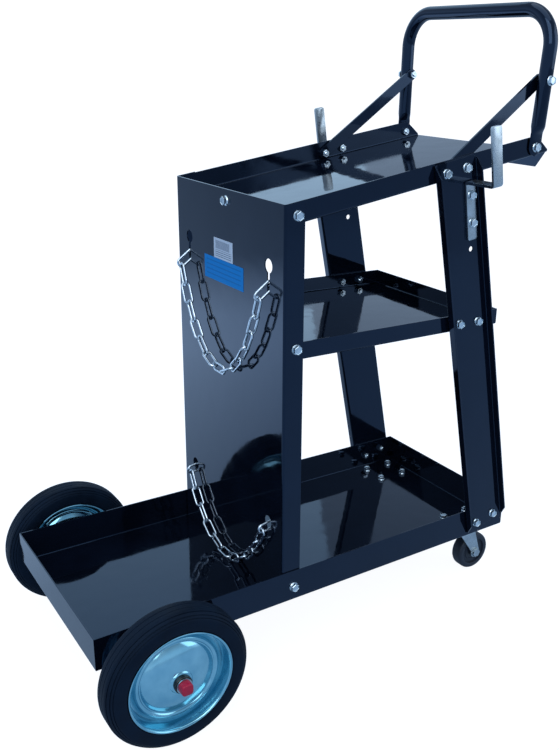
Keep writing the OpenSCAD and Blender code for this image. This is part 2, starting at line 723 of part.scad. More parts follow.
// crown with a raised race wall, and two legs down to the wheel
module caster_fork(side) on_floor() color(zinc) in_caster(side) difference() {
  union() {
    translate([0, 0, crown_z - crown_t - contact / 2]) cylinder(r = crown_r, h = crown_t);
    translate([0, 0, crown_z - contact]) difference() {
      cylinder(r = race_r + race_t, h = 2 * ball_r - 0.8);
      translate([0, 0, -1]) cylinder(r = race_r, h = 2 * ball_r + 2);
    }
    for (s = [-1, 1]) translate([0, s * (leg_in + leg_t / 2) + leg_t / 2, 0]) rotate([90, 0, 0])
      linear_extrude(leg_t) {
        polygon([[-13, crown_z - 1], [13, crown_z - 1], [caster_trail + 8, caster_z + 3],
                 [caster_trail, caster_z - 6], [caster_trail - 8, caster_z + 3], [-13, crown_z - 12]]);
        translate([caster_trail, caster_z]) circle(8.5);
      }
  }
  translate([0, 0, crown_z - crown_t - 1]) cylinder(r = pin_r + running, h = 2 * crown_t);
  rod_y(caster_trail, caster_z, caster_axle_r + running, -caster_w, caster_w);
}

// axle bolt of a caster wheel, with its nut
module caster_axle(side) on_floor() color(zinc) in_caster(side) translate([caster_trail, 0, caster_z])
  on_side(side) {
    rod_y(0, 0, caster_axle_r, -leg_in - leg_t - 6, leg_in + leg_t + contact);
    seat_y(0, leg_in + leg_t + contact, 0) cylinder(r = 7, h = 4, $fn = 6);
    difference() {
      translate([0, -leg_in - leg_t - contact, 0]) rotate([90, 0, 0]) cylinder(r = 7, h = 5, $fn = 6);
      rod_y(0, 0, caster_axle_r + running, -caster_w - 10, 0);
    }
  }

module caster_wheel(side) on_floor() color(rubber) in_caster(side) translate([caster_trail, 0, caster_z])
  rotate([90, 0, 0]) difference() {
    rotate_extrude($fn = 72)
      polygon([[0, -leg_in + 0.4], [7, -leg_in + 0.4], [7, -caster_w / 2 + 3], [caster_r - 9, -caster_w / 2 + 3],
               [caster_r - 8, -caster_w / 2], [caster_r - 3, -caster_w / 2], [caster_r, -caster_w / 2 + 4],
               [caster_r, caster_w / 2 - 4], [caster_r - 3, caster_w / 2], [caster_r - 8, caster_w / 2],
               [caster_r - 9, caster_w / 2 - 3], [7, caster_w / 2 - 3], [7, leg_in - 0.4], [0, leg_in - 0.4]]);
    cylinder(r = caster_axle_r + running, h = 2 * caster_w, center = true);
  }

module near_caster_plate() caster_plate(near);
module near_caster_pin() caster_pin(near);
module near_caster_balls() caster_balls(near);
module near_caster_fork() caster_fork(near);
module near_caster_axle() caster_axle(near);
module near_caster_wheel() caster_wheel(near);
module far_caster_plate() caster_plate(far);
module far_caster_pin() caster_pin(far);
module far_caster_balls() caster_balls(far);
module far_caster_fork() caster_fork(far);
module far_caster_axle() caster_axle(far);
module far_caster_wheel() caster_wheel(far);

// welded link: its length along x, its width along y
module link() for (turn = [0, 180]) rotate([0, 0, turn]) {
  translate([bow_x, 0, 0]) rotate([0, 0, -90]) rotate_extrude(angle = 180, $fn = 24)
    translate([bow_r, 0]) circle(wire_r, $fn = 24);
  translate([-bow_x, bow_r, 0]) rotate([0, 90, 0]) cylinder(r = wire_r, h = 2 * bow_x, $fn = 24);
}

// slope of a hanging link: each one carries the weight of those below it
function link_slope(i, n, k) = atan(k * (i - (n - 1) / 2));
// turn between two links at joint i, before link i
function link_turn(i, n, k) =
  i == 0 || i == n ? min(90 - link_slope(n - 1, n, k), max_turn)
                   : link_slope(i, n, k) - link_slope(i - 1, n, k);
// how far a link's end reaches past the joint, so that its wire clears the other's bow
function overreach(turn) =
  let (play = bow_r - wire_d - link_gap)
  (bow_r - sqrt(bow_r * bow_r - 2 * (bow_r * bow_r - play * play) / (1 + cos(turn)))) / 2;
function arm(i, n, k) = tip_x - overreach(link_turn(i, n, k));
function sum(v, i = 0) = i < len(v) ? v[i] + sum(v, i + 1) : 0;
function chain_span(n, k) =
  sum([for (i = [0:n - 1]) (arm(i, n, k) + arm(i + 1, n, k)) * cos(link_slope(i, n, k))]);
// steepness at which n links just span the keyholes, found by halving
function steepness(n, lo = 0, hi = 6, steps = 40) =
  let (k = (lo + hi) / 2)
  steps == 0 ? k : chain_span(n, k) > key_span ? steepness(n, k, hi, steps - 1)
                                               : steepness(n, lo, k, steps - 1);
function heading(i, n, k) = [cos(link_slope(i, n, k)), sin(link_slope(i, n, k))];
function link_centre(i, n, k) =
  i == 0 ? [-key_span / 2, overreach(link_turn(0, n, k)) - bow_r] + arm(0, n, k) * heading(0, n, k)
         : link_centre(i - 1, n, k) + arm(i, n, k) * (heading(i - 1, n, k) + heading(i, n, k));
// hinge line of a chain whose slots end at z, as [x, z]
function hinge(z, end) = [end[1] - bow_x * cos(end[0]), z + end[2] - bow_x * sin(end[0])];

module chain(z, n, end) on_floor() color(zinc) {
  k = steepness(n);
  for (i = [0:n - 1]) {
    c = link_centre(i, n, k);
    translate([hinge(z, end)[0], c[0], hinge(z, end)[1] + c[1]]) rotate([90, 0, 90])
      rotate([0, 0, link_slope(i, n, k)]) rotate([i % 2 == 0 ? 0 : 90, 0, 0]) link();
  }
}

// at each keyhole, one link through the slot and one across its back that holds it
module chain_ends(z, end) on_floor() color(zinc) for (side = [near, far])
  translate([end[1], side * key_span / 2, z + end[2]]) {
    rotate([90, 0, 0]) rotate([0, 0, end[0]]) link();
    translate([bow_x * cos(end[0]) + 1.5, 0, bow_x * sin(end[0]) - 1.1 - tip_x])
      rotate([90, 0, 90]) rotate([0, 0, 90]) link();
  }

module upper_chain() chain(upper_key_z - upper_key_drop, upper_links, upper_end);
module lower_chain() chain(lower_key_z - lower_key_drop, lower_links, lower_end);
module upper_chain_ends() chain_ends(upper_key_z - upper_key_drop, upper_end);
module lower_chain_ends() chain_ends(lower_key_z - lower_key_drop, lower_end);

// printed film on the panel, w across and h high, with its lower edge at z
module film(y, z, w, h) translate([-0.3, y - w / 2, z]) cube([0.3, w, h]);

label_gap = 0.3;            // between the label and the sticker above it
module white_sticker() on_floor() color(paper)
  film(label_y, upper_key_z - label_drop + label_h + label_gap, sticker_w, sticker_h);
module blue_label() on_floor() color(blue)
  film(label_y, upper_key_z - label_drop, label_w, label_h);

// places children at each bolt that runs across the cart, given the outer face and the grip
module panel_sites() for (side = [near, far]) on_side(side) {
  seat_y(flange_bolt_x, bottom_w / 2 + contact, panel_bottom_bolt_z) children(0);
  for (z = [panel_shelf_bolt_z, panel_top_bolt_z])
    seat_y(flange_bolt_x, panel_w / 2 + contact, z) children(0);
}

panel_grip = 2 * sheet_t + sheet_fit + 2 * contact;
module web_site() translate([-contact, 0, panel_web_bolt_z]) rotate([0, -90, 0]) children();

module panel_bolts() on_floor() color(zinc) {
  panel_sites() bolt(panel_grip);
  web_site() bolt(panel_grip);
}

module panel_nuts() on_floor() color(zinc) {
  panel_sites() nut(panel_grip);
  web_site() nut(panel_grip);
}

// bolts of one post: on the bottom tray, the shelf and the top tray, where one also holds the brace
function post_seat(z) = post_face(z) + post_t + 2 * contact;
function tray_grip(z, w) = post_seat(z) - w / 2 + sheet_t + contact;

module post_sites(nuts) for (side = [near, far]) on_side(side) {
  for (p = foot_bolts) seat_y(p[0], post_seat(p[1]), p[1])
    if (nuts) nut(tray_grip(p[1], bottom_w)); else bolt(tray_grip(p[1], bottom_w));
  for (p = shelf_bolts) seat_y(p[0], post_seat(p[1]), p[1])
    if (nuts) nut(tray_grip(p[1], inner_w)); else bolt(tray_grip(p[1], inner_w));
  for (k = [0, 1]) let (p = top_bolts[k], grip = tray_grip(p[1], inner_w) + (1 - k) * (brace_t + 2 * brace_fit))
    seat_y(p[0], post_seat(p[1]), p[1]) if (nuts) nut(grip); else bolt(grip);
}

module post_bolts() on_floor() color(zinc) post_sites(false);
module post_nuts() on_floor() color(zinc) post_sites(true);

hook_grip = post_t + hook_t + 3 * contact;
module hook_sites() for (side = [near, far], k = [0, 1]) in_post(side) in_hook()
  seat_y(0, post_t + hook_t + 2 * contact, -k * hook_pitch) children();

module hook_bolts() on_floor() color(zinc) hook_sites() bolt(hook_grip);
module hook_nuts() on_floor() color(zinc) hook_sites() nut(hook_grip);

// foot bolts clamp the flattened ends to the tray; brace bolts go through the tube
foot_grip = flat_t + sheet_t + 3 * contact;
brace_grip = tube_d + brace_t + 4 * brace_fit;
module handle_sites(nuts) for (side = [near, far]) on_side(side) {
  seat_y(handle_foot[0], foot_y + flat_t / 2 + contact, handle_foot[1])
    if (nuts) nut(foot_grip); else bolt(foot_grip);
  seat_y(brace_bolt[0], leg_y(brace_bolt_h) + tube_d / 2 + brace_fit, brace_bolt[1])
    if (nuts) nut(brace_grip); else bolt(brace_grip);
}

module handle_bolts() on_floor() color(zinc) handle_sites(false);
module handle_nuts() on_floor() color(zinc) handle_sites(true);

// caster bolts drop through the tray floor into nuts under the plate
caster_grip = sheet_t + plate_t + 3 * contact;
module caster_sites() for (side = [near, far]) caster_holes(side)
  translate([0, 0, sheet_t + contact]) children();

module caster_bolts() on_floor() color(zinc) caster_sites() bolt(caster_grip);
module caster_nuts() on_floor() color(zinc) caster_sites() nut(caster_grip);

bottom_tray();
cylinder_panel();
middle_shelf();
top_tray();
near_post();
far_post();
near_hook();
far_hook();
handle();
near_brace();
far_brace();
rear_axle();
near_axle_bracket();
far_axle_bracket();
axle_spacers();
axle_washers();
near_axle_cap();
far_axle_cap();
near_tyre();
near_rim_outer();
near_rim_inner();
near_hub();
far_tyre();
far_rim_outer();
far_rim_inner();
far_hub();
near_caster_plate();
near_caster_pin();
near_caster_balls();
near_caster_fork();
near_caster_axle();
near_caster_wheel();
far_caster_plate();
far_caster_pin();
far_caster_balls();
far_caster_fork();
far_caster_axle();
far_caster_wheel();
upper_chain();
lower_chain();
upper_chain_ends();
lower_chain_ends();
white_sticker();
blue_label();
panel_bolts();
panel_nuts();
post_bolts();
post_nuts();
hook_bolts();
hook_nuts();
handle_bolts();
handle_nuts();
caster_bolts();
caster_nuts();
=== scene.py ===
import math

import bmesh
import bpy
from mathutils import Matrix, Vector


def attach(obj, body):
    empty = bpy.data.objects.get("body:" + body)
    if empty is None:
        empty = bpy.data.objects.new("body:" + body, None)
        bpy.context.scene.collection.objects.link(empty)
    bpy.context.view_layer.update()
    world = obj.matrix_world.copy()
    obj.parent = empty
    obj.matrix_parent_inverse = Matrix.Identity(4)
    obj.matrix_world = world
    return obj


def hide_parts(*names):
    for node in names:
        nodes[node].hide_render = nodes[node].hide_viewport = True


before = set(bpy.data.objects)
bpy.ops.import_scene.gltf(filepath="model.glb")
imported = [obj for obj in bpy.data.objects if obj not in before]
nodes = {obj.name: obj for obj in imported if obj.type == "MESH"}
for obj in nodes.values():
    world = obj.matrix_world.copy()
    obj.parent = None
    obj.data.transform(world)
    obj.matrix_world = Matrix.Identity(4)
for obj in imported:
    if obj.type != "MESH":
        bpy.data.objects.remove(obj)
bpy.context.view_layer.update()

# ---------------------------------------------------------------------------
# Camera
# The cart is seen from its cylinder end, a little above the top tray. Places
# are given in millimetres from the panel's face and the bottom tray's underside.
# ---------------------------------------------------------------------------
mm = 0.001
slope = math.radians(1.2)               # the trays run down towards the casters
cart = Matrix.Translation((-87.1494 * mm, 0, 95.4376 * mm)) @ Matrix.Rotation(slope, 4, "Y")


def placed(x, y, z):
    """The cart's own axes, moved to a place along it from the panel, across it, and up from its foot."""
    return cart @ Matrix.Translation(Vector((x, y, z)) * mm)


bearing, height, roll = math.radians(-36.99), math.radians(19.78), math.radians(2.34)
back = Vector((math.sin(bearing) * math.cos(height), -math.cos(bearing) * math.cos(height), math.sin(height)))
level = Vector((0, 0, 1)).cross(back).normalized()
upright = back.cross(level)
right = math.cos(roll) * level + math.sin(roll) * upright
up = back.cross(right)
lens_data = bpy.data.cameras.new("cart_camera")
camera = bpy.data.objects.new("cart_camera", lens_data)
bpy.context.scene.collection.objects.link(camera)
turn = Matrix((right, up, back)).transposed().to_4x4()
stand = (-508.6, -966.1, 659.4)
camera.matrix_world = placed(*stand) @ turn
image_w, image_h = 559, 750
focal, axis_x, axis_y = 864.55, 360, 382    # in pixels: the focal length, and where the lens points
lens_data.sensor_width = 36
lens_data.lens = focal * lens_data.sensor_width / image_h
lens_data.shift_x = (image_w / 2 - axis_x) / image_h
lens_data.shift_y = (axis_y - image_h / 2) / image_h
lens_data.clip_start, lens_data.clip_end = 0.01, 60
bpy.context.scene.camera = camera

# ---------------------------------------------------------------------------
# Floor, backdrop and lamps
# A matt floor fades out into a white surround. A broad lamp stands on the
# camera's left, weaker ones on its right and behind, and one hangs overhead.
# All are tinted a cool blue.
# ---------------------------------------------------------------------------


def linear(code):
    """An sRGB hex colour as the linear colour that Blender works in."""
    parts = [int(code[i:i + 2], 16) / 255 for i in (1, 3, 5)]
    return tuple(c / 12.92 if c <= 0.04045 else ((c + 0.055) / 1.055) ** 2.4 for c in parts) + (1,)


def add_node(tree, kind, settings=None, values=None, links=None):
    """Adds one shader node with its settings, its socket values and the links into it."""
    made = tree.nodes.new("ShaderNode" + kind)
    for name, value in (settings or {}).items():
        setattr(made, name, value)
    for name, value in (values or {}).items():
        made.inputs[name].default_value = value
    for name, source in (links or {}).items():
        tree.links.new(source, made.inputs[name])
    return made


def surround(tree):
    """The surround's colour, white to the camera and pale blue to other rays, and the light path node."""
    path = add_node(tree, "LightPath")
    color = add_node(tree, "ValToRGB", links={"Fac": path.outputs["Is Camera Ray"]})
    color.color_ramp.elements[0].color = linear("#b2ccea")
    color.color_ramp.elements[1].color = linear("#ffffff")
    return color.outputs["Color"], path


scene = bpy.context.scene
scene.view_settings.view_transform = "Standard"
world = bpy.data.worlds.new("white_surround")
scene.world = world
world.use_nodes = True
world.node_tree.nodes.clear()
# rays that don't come from the camera meet a soft light that is strongest near the horizon
tree = world.node_tree
color, path = surround(tree)
ray = add_node(tree, "SeparateXYZ", links={"Vector": add_node(tree, "TexCoord").outputs["Generated"]})
sky_light = add_node(tree, "MapRange", links={"Value": ray.outputs["Z"]}, values={
    "From Min": 0.1, "From Max": 0.6, "To Min": 1.15, "To Max": 0.6}).outputs["Result"]
strength = add_node(tree, "Math", {"operation": "MAXIMUM"}, links={
    0: path.outputs["Is Camera Ray"], 1: sky_light}).outputs[0]
sky = add_node(tree, "Background", links={"Color": color, "Strength": strength})
add_node(tree, "OutputWorld", links={"Surface": sky.outputs[0]})

bpy.ops.object.select_all(action="DESELECT")
bpy.ops.mesh.primitive_plane_add(size=40, location=(0, 0, 0))
floor = bpy.context.object
floor.name = "studio_floor"
matt_floor = bpy.data.materials.new("white_floor_with_painted_pool")
matt_floor.use_nodes = True
tree = matt_floor.node_tree
tree.nodes.clear()
spot = add_node(tree, "TexCoord").outputs["Object"]
speckle = add_node(tree, "TexNoise", values={"Scale": 90.0, "Detail": 3.0}, links={"Vector": spot})
tone = add_node(tree, "ValToRGB", links={"Fac": speckle.outputs["Fac"]})
tone.color_ramp.elements[0].color = linear("#6c8094")
tone.color_ramp.elements[1].color = linear("#708498")
paint = add_node(tree, "BsdfDiffuse", links={"Color": tone.outputs["Color"]})
# away from the cart the floor fades into the white surround, so that no horizon shows
away = add_node(tree, "VectorMath", {"operation": "LENGTH"}, links={0: spot}).outputs["Value"]
fade = add_node(tree, "MapRange", links={"Value": away}, values={
    "From Min": 0.5, "From Max": 2.0, "To Min": 0.94, "To Max": 1.0}).outputs["Result"]
# a painted pool of light: in gloss the floor glows brightest behind the cart's left and dimmer away from it
painted_pool_middle = (-0.75, 1.35, 0)
from_it = add_node(tree, "VectorMath", {"operation": "DISTANCE"}, {1: painted_pool_middle}, {0: spot}).outputs["Value"]
pale = add_node(tree, "MapRange", links={"Value": from_it}, values={
    "From Min": 0.2, "From Max": 1.2, "To Min": 1.9, "To Max": 0.48}).outputs["Result"]
color, path = surround(tree)
gloss = add_node(tree, "Math", {"operation": "MAXIMUM"}, links={
    0: path.outputs["Is Glossy Ray"], 1: path.outputs["Is Transmission Ray"]}).outputs[0]
direct = add_node(tree, "Math", {"operation": "MULTIPLY"}, links={
    0: fade, 1: path.outputs["Is Camera Ray"]}).outputs[0]
# reflections see the floor's glow with its painted pool of light, while the camera sees the even white
strength = add_node(tree, "Math", {"operation": "MULTIPLY_ADD"}, links={
    0: gloss, 1: pale, 2: direct}).outputs[0]
glow = add_node(tree, "Emission", links={"Color": color, "Strength": strength})
# the floor's paint plus its glow, which holds the painted pool of light
paint_and_painted_glow = add_node(tree, "AddShader", links={0: paint.outputs[0], 1: glow.outputs[0]})
add_node(tree, "OutputMaterial", links={"Surface": paint_and_painted_glow.outputs[0]})
floor.data.materials.append(matt_floor)

aim = Vector((0, 0, 0.4))               # every lamp faces the cart's middle
for name, place, size, power, tint in (("key_lamp", (-1.6, -1.5, 2.3), 2.4, 44, (0.86, 0.94, 1)),
                                       ("fill_lamp", (1.9, -1.7, 1.4), 1.8, 14, (0.82, 0.92, 1)),
                                       ("back_lamp", (0.6, 2.2, 2.0), 2.0, 10, (0.5, 0.78, 1)),
                                       ("top_lamp", (0.0, 0.0, 2.9), 2.4, 20, (0.82, 0.92, 1))):
    lamp_data = bpy.data.lights.new(name, "AREA")
    lamp_data.size = size
    lamp_data.energy = power
    lamp_data.color = tint
    lamp = bpy.data.objects.new(name, lamp_data)
    scene.collection.objects.link(lamp)
    lamp.location = place
    lamp.rotation_mode = "QUATERNION"
    lamp.rotation_quaternion = (Vector(place) - aim).to_track_quat("Z", "Y")
    lamp.visible_camera = False

# ---------------------------------------------------------------------------
# Trays, panel, posts and braces
# 1.5 and 2 mm steel sheet and 3 mm bar, folded and punched, then dipped in black
# stoving enamel, which lies smooth and deep and reflects with a slate-blue cast.
# ---------------------------------------------------------------------------


def new_finish(name, tones, roughness, bumps, sockets=None, edge_mm=0.0):
    """A material whose tones, roughness and bumps follow noises, with edges that look rounded by edge_mm.

    A noise is (size in mm, detail, roughness). Tones and roughness each give a noise, their values at its
    two ends, and where on it these ends lie. Each bump gives a noise and its height in mm.
    """
    made = bpy.data.materials.new(name)
    made.use_nodes = True
    tree = made.node_tree
    tree.nodes.clear()
    where = add_node(tree, "TexCoord").outputs["Object"]
    noises = {}
    for size, detail, rough in dict.fromkeys([tones[0], roughness[0]] + [grain for grain, rise in bumps]):
        noises[size, detail, rough] = add_node(tree, "TexNoise", links={"Vector": where}, values={
            "Scale": 1000 / size, "Detail": detail, "Roughness": rough}).outputs["Fac"]
    source, low, high, start, end = tones
    color = add_node(tree, "ValToRGB", {"name": "tones"}, links={"Fac": noises[source]})
    for stop, position, code in zip(color.color_ramp.elements, (start, end), (low, high)):
        stop.position, stop.color = position, linear(code)
    source, low, high, start, end = roughness
    dull = add_node(tree, "MapRange", links={"Value": noises[source]}, values={
        "From Min": start, "From Max": end, "To Min": low, "To Max": high})
    normal = {}
    if edge_mm:
        normal["Normal"] = add_node(tree, "Bevel", {"samples": 4}, {"Radius": edge_mm * mm}).outputs["Normal"]
    for grain, rise in bumps:
        normal["Normal"] = add_node(tree, "Bump", values={"Strength": 1.0, "Distance": rise * mm}, links={
            "Height": noises[grain], **normal}).outputs["Normal"]
    shader = add_node(tree, "BsdfPrincipled", values=sockets, links={
        "Base Color": color.outputs["Color"], "Roughness": dull.outputs["Result"], **normal})
    add_node(tree, "OutputMaterial", links={"Surface": shader.outputs["BSDF"]})
    return made


def cover(material, *names):
    """Gives CAD solids that stay visible their finish."""
    for name in names:
        nodes[name].data.materials.clear()
        nodes[name].data.materials.append(material)


# Stoving enamel: blue-black and glossy, wavy over 34 mm where the sheet isn't
# flat, with a 2 mm orange peel and a film of dust that dulls it in places.
dust, waves, peel = (70, 5.0, 0.65), (34, 1.0, 0.5), (2.2, 1.0, 0.5)
enamel = new_finish("black_stoving_enamel", (dust, "#04070f", "#080e1a", 0.35, 0.75),
                    (dust, 0.035, 0.12, 0.4, 0.75), [(waves, 0.16), (peel, 0.006)], edge_mm=0.5, sockets={
                        "Specular IOR Level": 0.64, "Specular Tint": linear("#9cc0f2")})
cover(enamel, "bottom_tray", "cylinder_panel", "middle_shelf", "top_tray", "near_post", "far_post",
      "near_brace", "far_brace", "near_axle_bracket", "far_axle_bracket")

# ---------------------------------------------------------------------------
# Push handle
# 19 mm round steel tube, bent twice on a 46 mm radius, its ends pressed flat
# where they bolt to the top tray's flanges, in the same black enamel.
# ---------------------------------------------------------------------------


def start_piece():
    """Leaves edit mode and deselects everything, so that the next primitive stands alone."""
    if bpy.context.object and bpy.context.object.mode == "EDIT":
        bpy.ops.object.mode_set(mode="OBJECT")
    bpy.ops.object.select_all(action="DESELECT")


def settled():
    """Applies the place and turn of the primitive just added, and returns it."""
    bpy.ops.object.transform_apply(location=True, rotation=True, scale=True)
    return bpy.context.object


def edit_all():
    """Goes into edit mode with every vertex selected."""
    bpy.ops.object.mode_set(mode="EDIT")
    bpy.ops.mesh.select_mode(type="VERT")
    bpy.ops.mesh.select_all(action="SELECT")


def pick(mode, test):
    """In edit mode, selects only the vertices or faces whose middle passes the test."""
    bpy.ops.mesh.select_mode(type=mode)
    bpy.ops.mesh.select_all(action="DESELECT")
    shape = bmesh.from_edit_mesh(bpy.context.object.data)
    for part in shape.verts if mode == "VERT" else shape.faces:
        part.select_set(test(part.co if mode == "VERT" else part.calc_center_median(), part))
    shape.select_flush(True)
    bmesh.update_edit_mesh(bpy.context.object.data)


def extrude(*step):
    """Extrudes what is selected by a step in metres."""
    bpy.ops.mesh.extrude_region_move(TRANSFORM_OT_translate={"value": step})


def tidy_mesh():
    """Merges what lies together, turns all faces outwards and leaves edit mode."""
    bpy.ops.mesh.select_all(action="SELECT")
    bpy.ops.mesh.remove_doubles(threshold=2e-6)
    bpy.ops.mesh.normals_make_consistent(inside=False)
    bpy.ops.object.mode_set(mode="OBJECT")


def finished(piece, name, material, body, slot, *replaced, smooth=35):
    """Names a piece, gives it its finish and its body, and hides the solids that it stands for."""
    bpy.ops.object.select_all(action="DESELECT")
    piece.select_set(True)
    bpy.context.view_layer.objects.active = piece
    bpy.ops.object.transform_apply(location=True, rotation=True, scale=True)
    bpy.ops.object.shade_smooth_by_angle(angle=math.radians(smooth))
    piece.name = piece.data.name = name
    piece.data.materials.clear()
    piece.data.materials.append(material)
    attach(piece, body)
    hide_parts(*replaced)
    piece.select_set(False)
    return piece


tube_r, tube_bend, rise = 9.5 * mm, 46 * mm, 172 * mm
foot_y = 140.4 * mm                     # middle of the flattened ends
splay = math.radians(2)                 # the legs spread by this much
leg = (rise - tube_bend * (1 + math.sin(splay))) / math.cos(splay)
bar_y = foot_y + leg * math.sin(splay) - tube_bend * math.cos(splay)
round_from = 28 * mm                    # the full tube starts this far up a leg
flare = 12                              # and is pressed flat over this many millimetres
run = leg - round_from
start_piece()
bpy.ops.mesh.primitive_circle_add(
    vertices=32, radius=tube_r, rotation=(splay, 0, 0),
    location=(0, -foot_y - round_from * math.sin(splay), round_from * math.cos(splay)))
handle = settled()
edit_all()
extrude(0, -run * math.sin(splay), run * math.cos(splay))
bpy.ops.mesh.spin(steps=16, angle=math.pi / 2 + splay, center=(0, -bar_y, rise - tube_bend), axis=(1, 0, 0))
extrude(0, 2 * bar_y, 0)
bpy.ops.mesh.spin(steps=16, angle=math.pi / 2 + splay, center=(0, bar_y, rise - tube_bend), axis=(1, 0, 0))
extrude(0, -run * math.sin(splay), -run * math.cos(splay))
# each end is pressed flat by rings of (drop in mm, and width and thickness as shares of the tube)
for side in (-1, 1):
    pick("VERT", lambda co, v: co.z < round_from + 1 * mm and co.y * side > 0)
    shift = side * round_from * math.sin(splay) / flare
    wide = thick = 1.0
    for drop, new_wide, new_thick in ((2, 1.02, 0.95), (3, 1.07, 0.74), (3, 1.13, 0.47), (2.5, 1.18, 0.27),
                                      (1.5, 1.20, 0.205), (16, 1.20, 0.205), (4, 1.125, 0.205),
                                      (4, 0.86, 0.205), (2.2, 0.54, 0.205), (1.1, 0.17, 0.205)):
        extrude(0, -shift * drop if wide < 1.2 else 0, -drop * mm)
        bpy.ops.transform.resize(value=(new_wide / wide, new_thick / thick, 1))
        wide, thick = new_wide, new_thick
    bpy.ops.mesh.edge_face_add()
tidy_mesh()
handle_x, handle_z, lean = 390.66, 571.97, math.radians(2.1)
handle.matrix_world = placed(handle_x, 0, handle_z) @ Matrix.Rotation(lean, 4, "Y")
finished(handle, "push_handle", enamel, "frame", "enamel", "handle")

# ---------------------------------------------------------------------------
# Frame fasteners
# M6 hexagon flange bolts and nuts, zinc plated, through the folded flanges. The
# head is dished on top, its corners are chamfered, and the thread's end shows.
# ---------------------------------------------------------------------------
# Bright zinc: a pale silver plate, cloudy where it has been handled, with the
# grain of tumbling, coarser than it is so that it shows.
clouds, grain = (9, 3.0, 0.55), (0.9, 2.0, 0.5)
bright_zinc = new_finish("bright_zinc_plate", (clouds, "#b4c4ce", "#e4edf2", 0.3, 0.7),
                         (clouds, 0.3, 0.16, 0.3, 0.7), [(grain, 0.01)], {"Metallic": 1.0})


def solids_of(name):
    """The box, on the cart's own axes, of each separate solid in a CAD node."""
    shape = bmesh.new()
    shape.from_mesh(nodes[name].data)
    bmesh.ops.remove_doubles(shape, verts=shape.verts, dist=1e-6)
    to_cart = cart.inverted() @ nodes[name].matrix_world
    left, boxes = set(shape.verts), []
    while left:
        stack, island = [left.pop()], []
        while stack:
            vert = stack.pop()
            island.append(to_cart @ vert.co)
            for edge in vert.link_edges:
                other = edge.other_vert(vert)
                if other in left:
                    left.remove(other)
                    stack.append(other)
        boxes.append((Vector([min(c[k] for c in island) for k in range(3)]),
                      Vector([max(c[k] for c in island) for k in range(3)])))
    shape.free()
    return sorted(boxes, key=lambda b: [round(v, 4) for v in (b[0] + b[1])])


def join(pieces):
    """Joins several mesh objects into the first."""
    bpy.ops.object.select_all(action="DESELECT")
    for piece in pieces:
        piece.select_set(True)
    bpy.context.view_layer.objects.active = pieces[0]
    bpy.ops.object.join()
    return pieces[0]


def threaded_rod(radius, bottom, top):
    """A rod along Z whose lowest 6 mm show a fine rolled thread, with a chamfered end."""
    threaded, pitch, core = 6 * mm, 0.5 * mm, 0.9
    start_piece()
    bpy.ops.mesh.primitive_circle_add(vertices=20, radius=radius, fill_type="NGON", location=(0, 0, top))
    rod = settled()
    edit_all()
    plain = max(top - bottom - threaded, 0.4 * mm)
    extrude(0, 0, -plain)
    left = top - bottom - plain
    while left > 0.9 * mm:
        for scale in (core, 1 / core):
            extrude(0, 0, -pitch / 2)
            bpy.ops.transform.resize(value=(scale, scale, 1))
        left -= pitch
    extrude(0, 0, -left)
    bpy.ops.transform.resize(value=(0.78, 0.78, 1))
    tidy_mesh()
    return rod


def hexagon(across, tall, low, dished=False):
    """A chamfered hexagon on Z from a height up, dished on top where it is a bolt's head."""
    rim, land, dish, chamfer = 0.06 * across, 0.05 * across, 0.12 * across, 0.07 * across
    start_piece()
    bpy.ops.mesh.primitive_cylinder_add(vertices=6, radius=across / math.sqrt(3), depth=tall,
                                        location=(0, 0, low + tall / 2))
    piece = settled()
    bpy.ops.object.mode_set(mode="EDIT")
    pick("FACE", lambda co, f: f.normal.z > 0.9)
    bpy.ops.mesh.inset(thickness=rim, depth=0)
    bpy.ops.mesh.inset(thickness=land, depth=-dish if dished else 0)
    pick("VERT", lambda co, v: co.z > low + tall * 0.98 and co.xy.length > across * 0.55)
    bpy.ops.transform.translate(value=(0, 0, -chamfer))
    bpy.ops.object.mode_set(mode="OBJECT")
    return piece


thread_r, across_flats = 3 * mm, 10 * mm
head_tall, flange_thick, flange_r = 4 * mm, 1.2 * mm, 6.5 * mm


def flange_bolt(length):
    """A flange bolt along Z: its seat at 0, its dished head above, and its thread down to -length."""
    head = hexagon(across_flats, head_tall, flange_thick, dished=True)
    start_piece()
    bpy.ops.mesh.primitive_cylinder_add(vertices=28, radius=flange_r, depth=flange_thick,
                                        location=(0, 0, flange_thick / 2))
    flange = settled()
    bpy.ops.object.mode_set(mode="EDIT")
    pick("FACE", lambda co, f: f.normal.z > 0.9)
    bpy.ops.transform.resize(value=(0.9, 0.9, 1))
    bpy.ops.object.mode_set(mode="OBJECT")
    return join([head, flange, threaded_rod(thread_r, -length, flange_thick / 2)])


def towards(axis, sign):
    """Turns +Z, where a bolt has its head, to face along an axis of the cart."""
    return Vector([sign if k == axis else 0 for k in range(3)]).to_track_quat("Z", "Y").to_matrix().to_4x4()


def facing(low, high):
    """The axis of a bolt and the way its head faces: down into the tray, forwards, or outwards."""
    size = high - low
    axis = max(range(3), key=lambda k: size[k])
    return axis, (1 if axis == 2 else -1 if axis == 0 or low.y + high.y < 0 else 1)


for name in ("panel_bolts", "post_bolts", "hook_bolts", "handle_bolts", "caster_bolts"):
    parts = []
    for low, high in solids_of(name):
        axis, sign = facing(low, high)
        above_seat = head_tall + flange_thick
        seat = (low + high) / 2
        seat[axis] = (high[axis] if sign > 0 else low[axis]) - sign * above_seat
        parts.append(flange_bolt(high[axis] - low[axis] - above_seat))
        parts[-1].matrix_world = cart @ Matrix.Translation(seat) @ towards(axis, sign)
    finished(join(parts), name.replace("_bolts", "_flange_bolts"), bright_zinc, "frame", "zinc", name)

